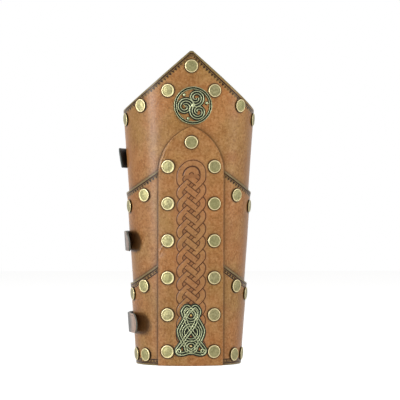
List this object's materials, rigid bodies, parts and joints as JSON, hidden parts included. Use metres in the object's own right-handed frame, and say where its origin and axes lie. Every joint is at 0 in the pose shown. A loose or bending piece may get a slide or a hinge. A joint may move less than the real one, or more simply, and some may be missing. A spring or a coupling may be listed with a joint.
{
  "type": "arm guard",
  "caption": "Leather forearm guard of overlapping tapered lames joined by a riveted spine, pointed at the elbow, with an openwork medallion and plaque and buckled straps behind.",
  "frame": {"origin": "on the forearm's axis, in the plane of the wrist rim that the guard stands on", "axes": "+Z from the wrist rim up to the elbow point, the spine faces -Y, +X is to the right seen from the front"},
  "size_m": [0.1162, 0.1045, 0.2658],
  "materials": {
    "tan_leather": "semi-gloss, mottled tan",
    "antique_brass": "antiqued, greenish",
    "brass": "satin",
    "black_leather": "semi-gloss black",
    "buckle_brass": "polished"
  },
  "bodies": {
    "guard": {"upper_lame": "tan_leather", "middle_lame": "tan_leather", "lower_lame": "tan_leather", "spine": "tan_leather", "medallion": "antique_brass", "wrist_plaque": "antique_brass", "medallion_posts": "brass", "plaque_posts": "brass", "spine_rivets": "brass", "upper_lame_rivets": "brass", "middle_lame_rivets": "brass", "lower_lame_rivets": "brass", "wrist_row_rivets": "brass", "lower_strap_rivets": "brass", "lower_chape_rivets": "brass", "middle_strap_rivets": "brass", "middle_chape_rivets": "brass", "upper_strap_rivets": "brass", "upper_chape_rivets": "brass", "lower_strap": "black_leather", "lower_chape": "black_leather", "lower_keeper": "black_leather", "middle_strap": "black_leather", "middle_chape": "black_leather", "middle_keeper": "black_leather", "upper_strap": "black_leather", "upper_chape": "black_leather", "upper_keeper": "black_leather"},
    "lower_buckle_frame": {"lower_buckle": "buckle_brass"},
    "lower_buckle_prong": {"lower_prong": "buckle_brass"},
    "middle_buckle_frame": {"middle_buckle": "buckle_brass"},
    "middle_buckle_prong": {"middle_prong": "buckle_brass"},
    "upper_buckle_frame": {"upper_buckle": "buckle_brass"},
    "upper_buckle_prong": {"upper_prong": "buckle_brass"}
  },
  "joints": [
    {"name": "lower_buckle_tilt", "type": "hinge", "parent": "guard", "child": "lower_buckle_frame", "pos_m": [-0.00817, 0.04035, 0.0355], "axis": [-0.0086, 0.0675, 0.9977], "range_deg": [0, 8]},
    {"name": "lower_prong_lift", "type": "hinge", "parent": "lower_buckle_frame", "child": "lower_buckle_prong", "pos_m": [-0.00817, 0.04035, 0.0355], "axis": [-0.0086, 0.0675, 0.9977], "range_deg": [0, 10]},
    {"name": "middle_buckle_tilt", "type": "hinge", "parent": "guard", "child": "middle_buckle_frame", "pos_m": [-0.00817, 0.04327, 0.105], "axis": [-0.0082, 0.0675, 0.9977], "range_deg": [0, 8]},
    {"name": "middle_prong_lift", "type": "hinge", "parent": "middle_buckle_frame", "child": "middle_buckle_prong", "pos_m": [-0.00817, 0.04327, 0.105], "axis": [-0.0082, 0.0675, 0.9977], "range_deg": [0, 10]},
    {"name": "upper_buckle_tilt", "type": "hinge", "parent": "guard", "child": "upper_buckle_frame", "pos_m": [-0.00816, 0.04628, 0.176], "axis": [-0.0078, 0.0676, 0.9977], "range_deg": [0, 8]},
    {"name": "upper_prong_lift", "type": "hinge", "parent": "upper_buckle_frame", "child": "upper_buckle_prong", "pos_m": [-0.00816, 0.04628, 0.176], "axis": [-0.0078, 0.0676, 0.9977], "range_deg": [0, 10]}
  ]
}
